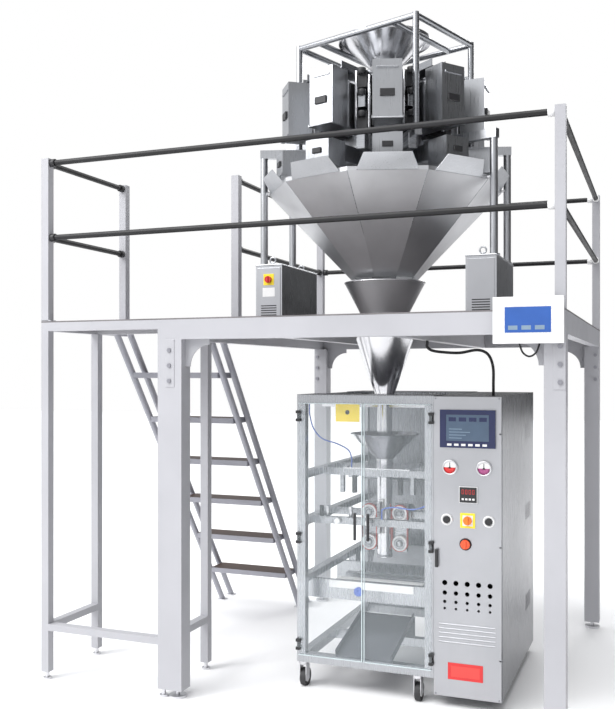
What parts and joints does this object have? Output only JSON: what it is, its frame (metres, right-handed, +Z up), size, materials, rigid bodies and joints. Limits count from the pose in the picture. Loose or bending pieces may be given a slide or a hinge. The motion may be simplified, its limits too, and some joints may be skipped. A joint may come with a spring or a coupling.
{
  "type": "vertical form fill sealer",
  "caption": "Vertical bagging machine on casters with control cabinet, under a railed platform with stair that carries a multihead weigher and its chute.",
  "frame": {"origin": "bottom centre of the whole installation, on the floor", "axes": "+Z up, +X to the right along the front, +Y from the front to the back"},
  "size_m": [2.99, 2.472, 3.8043],
  "materials": {
    "frame_paint": "smooth satin paint",
    "deck_plate": "chequered, painted",
    "foot_steel": "plated",
    "bolt_steel": "plated",
    "rail_black": "gloss paint",
    "stair_paint": "satin paint",
    "tread_brown": "textured paint",
    "stainless": "brushed",
    "acrylic": "clear",
    "hinge_black": "moulded",
    "caster_steel": "plated",
    "caster_tyre": "moulded",
    "belt_red": "matt",
    "white_plastic": "moulded",
    "film": "wound film",
    "chute_grey": "satin",
    "panel_steel": "brushed",
    "screen_navy": "glossy",
    "knob_orange": "moulded",
    "knob_red": "moulded",
    "cable_black": "matt"
  },
  "bodies": {
    "frame": {"platform_posts": "frame_paint", "platform_beams": "frame_paint", "deck_plate": "deck_plate", "levelling_feet": "foot_steel", "landing_frame": "frame_paint", "frame_bolts": "bolt_steel", "guard_rails": "rail_black", "rail_posts": "frame_paint", "stair_strings": "stair_paint", "stair_treads": "tread_brown", "bagger_frame": "stainless", "bagger_covers": "stainless", "door_hinges": "hinge_black", "forming_tube": "stainless", "forming_collar": "stainless", "pull_belts": "belt_red", "belt_drives": "stainless", "jaw_guides": "stainless", "output_chute": "chute_grey", "cabinet_body": "stainless", "weigher_stand": "stainless", "weigher_body": "stainless", "weigher_top_frame": "stainless", "infeed_funnel": "stainless", "feeder_pans": "stainless", "feed_hoppers": "stainless", "weigh_hoppers": "stainless", "collecting_chute": "stainless", "panel_cable": "cable_black", "cables_and_hoses": "cable_black"},
    "door_left": {"door_left": "acrylic"},
    "door_right": {"door_right": "acrylic"},
    "cabinet_door": {"cabinet_door": "panel_steel", "operator_screen": "screen_navy", "instruments": "white_plastic"},
    "push_button_1": {"push_button_1": "hinge_black"},
    "push_button_2": {"push_button_2": "hinge_black"},
    "selector_knob": {"selector_knob": "knob_orange"},
    "main_switch": {"main_switch": "knob_orange"},
    "weigher_knob": {"weigher_knob": "knob_red"},
    "caster_fork_1": {"caster_fork_1": "caster_steel"},
    "caster_wheel_1": {"caster_wheel_1": "caster_tyre"},
    "caster_fork_2": {"caster_fork_2": "caster_steel"},
    "caster_wheel_2": {"caster_wheel_2": "caster_tyre"},
    "caster_fork_3": {"caster_fork_3": "caster_steel"},
    "caster_wheel_3": {"caster_wheel_3": "caster_tyre"},
    "caster_fork_4": {"caster_fork_4": "caster_steel"},
    "caster_wheel_4": {"caster_wheel_4": "caster_tyre"},
    "pulley_1": {"pulley_1": "white_plastic"},
    "pulley_2": {"pulley_2": "white_plastic"},
    "pulley_3": {"pulley_3": "white_plastic"},
    "pulley_4": {"pulley_4": "white_plastic"},
    "vertical_sealer": {"vertical_sealer": "white_plastic"},
    "front_jaw": {"front_jaw": "stainless"},
    "rear_jaw": {"rear_jaw": "stainless"},
    "film_roll": {"film_roll": "film"},
    "dancer_arm": {"dancer_arm": "stainless"},
    "touch_panel": {"touch_panel": "white_plastic"},
    "feed_gate": {"feed_gate": "stainless"},
    "weigh_gate": {"weigh_gate": "stainless"}
  },
  "joints": [
    {"name": "door_left_hinge", "type": "hinge", "parent": "frame", "child": "door_left", "pos_m": [-0.028, -0.749, 0.9], "axis": [0, 0, 1], "range_deg": [-100, 0]},
    {"name": "door_right_hinge", "type": "hinge", "parent": "frame", "child": "door_right", "pos_m": [0.748, -0.749, 0.9], "axis": [0, 0, 1], "range_deg": [0, 95]},
    {"name": "cabinet_door_hinge", "type": "hinge", "parent": "frame", "child": "cabinet_door", "pos_m": [1.121, -0.724, 0.9], "axis": [0, 0, 1], "range_deg": [0, 110]},
    {"name": "push_button_1_press", "type": "slide", "parent": "cabinet_door", "child": "push_button_1", "axis": [0, 1, 0], "range_m": [0, 0.004], "stiffness_N_per_m": 400, "springref_m": -0.003},
    {"name": "push_button_2_press", "type": "slide", "parent": "cabinet_door", "child": "push_button_2", "axis": [0, 1, 0], "range_m": [0, 0.004], "stiffness_N_per_m": 400, "springref_m": -0.003},
    {"name": "selector_turn", "type": "hinge", "parent": "cabinet_door", "child": "selector_knob", "pos_m": [0.946, -0.734, 1.016], "axis": [0, 1, 0], "range_deg": [-45, 45]},
    {"name": "main_switch_turn", "type": "hinge", "parent": "cabinet_door", "child": "main_switch", "pos_m": [0.934, -0.734, 0.888], "axis": [0, 1, 0], "range_deg": [0, 90]},
    {"name": "weigher_knob_turn", "type": "hinge", "parent": "frame", "child": "weigher_knob", "pos_m": [-0.28, -0.594, 2.365], "axis": [0, 1, 0], "range_deg": [0, 90]},
    {"name": "caster_swivel_1", "type": "hinge", "parent": "frame", "child": "caster_fork_1", "pos_m": [-0.01, -0.709, 0.14], "axis": [0, 0, 1], "continuous": true},
    {"name": "caster_roll_1", "type": "hinge", "parent": "caster_fork_1", "child": "caster_wheel_1", "pos_m": [-0.01, -0.679, 0.05], "axis": [1, 0, 0], "continuous": true},
    {"name": "caster_swivel_2", "type": "hinge", "parent": "frame", "child": "caster_fork_2", "pos_m": [0.665, -0.709, 0.14], "axis": [0, 0, 1], "continuous": true},
    {"name": "caster_roll_2", "type": "hinge", "parent": "caster_fork_2", "child": "caster_wheel_2", "pos_m": [0.665, -0.679, 0.05], "axis": [1, 0, 0], "continuous": true},
    {"name": "caster_swivel_3", "type": "hinge", "parent": "frame", "child": "caster_fork_3", "pos_m": [-0.01, 0.467, 0.14], "axis": [0, 0, 1], "continuous": true},
    {"name": "caster_roll_3", "type": "hinge", "parent": "caster_fork_3", "child": "caster_wheel_3", "pos_m": [-0.01, 0.497, 0.05], "axis": [1, 0, 0], "continuous": true},
    {"name": "caster_swivel_4", "type": "hinge", "parent": "frame", "child": "caster_fork_4", "pos_m": [0.665, 0.467, 0.14], "axis": [0, 0, 1], "continuous": true},
    {"name": "caster_roll_4", "type": "hinge", "parent": "caster_fork_4", "child": "caster_wheel_4", "pos_m": [0.665, 0.497, 0.05], "axis": [1, 0, 0], "continuous": true},
    {"name": "pulley_1_spin", "type": "hinge", "parent": "frame", "child": "pulley_1", "pos_m": [0.2597, -0.304, 0.785], "axis": [0, 1, 0], "continuous": true},
    {"name": "pulley_2_spin", "type": "hinge", "parent": "frame", "child": "pulley_2", "pos_m": [0.2597, -0.304, 0.965], "axis": [0, 1, 0], "continuous": true},
    {"name": "pulley_3_spin", "type": "hinge", "parent": "frame", "child": "pulley_3", "pos_m": [0.4503, -0.304, 0.785], "axis": [0, 1, 0], "continuous": true},
    {"name": "pulley_4_spin", "type": "hinge", "parent": "frame", "child": "pulley_4", "pos_m": [0.4503, -0.304, 0.965], "axis": [0, 1, 0], "continuous": true},
    {"name": "vertical_sealer_slide", "type": "slide", "parent": "frame", "child": "vertical_sealer", "axis": [0, -1, 0], "range_m": [0, 0.03]},
    {"name": "front_jaw_slide", "type": "slide", "parent": "frame", "child": "front_jaw", "axis": [0, 1, 0], "range_m": [0, 0.055]},
    {"name": "rear_jaw_slide", "type": "slide", "parent": "frame", "child": "rear_jaw", "axis": [0, -1, 0], "range_m": [0, 0.055]},
    {"name": "film_roll_spin", "type": "hinge", "parent": "frame", "child": "film_roll", "pos_m": [0.355, 0.232, 0.52], "axis": [1, 0, 0], "continuous": true},
    {"name": "dancer_swing", "type": "hinge", "parent": "frame", "child": "dancer_arm", "pos_m": [0.355, 0.212, 1.15], "axis": [1, 0, 0], "range_deg": [-25, 0]},
    {"name": "touch_panel_tilt", "type": "hinge", "parent": "frame", "child": "touch_panel", "pos_m": [1.33, -1.182, 2.055], "axis": [1, 0, 0], "range_deg": [-8, 8]},
    {"name": "feed_gate_swing", "type": "hinge", "parent": "frame", "child": "feed_gate", "pos_m": [0.54659, -0.89366, 3.175], "axis": [0.9511, 0.309, 0], "range_deg": [-30, 0], "stiffness_Nm_per_rad": 2, "springref_deg": 28.65},
    {"name": "weigh_gate_swing", "type": "hinge", "parent": "frame", "child": "weigh_gate", "pos_m": [0.55741, -0.92694, 2.95], "axis": [0.9511, 0.309, 0], "range_deg": [-40, 0], "stiffness_Nm_per_rad": 2, "springref_deg": 28.65}
  ],
  "couplings": [
    {"joint": "pulley_2_spin", "follows": "pulley_1_spin", "ratio": 1},
    {"joint": "pulley_3_spin", "follows": "pulley_1_spin", "ratio": -1},
    {"joint": "pulley_4_spin", "follows": "pulley_1_spin", "ratio": -1},
    {"joint": "rear_jaw_slide", "follows": "front_jaw_slide", "ratio": 1}
  ]
}
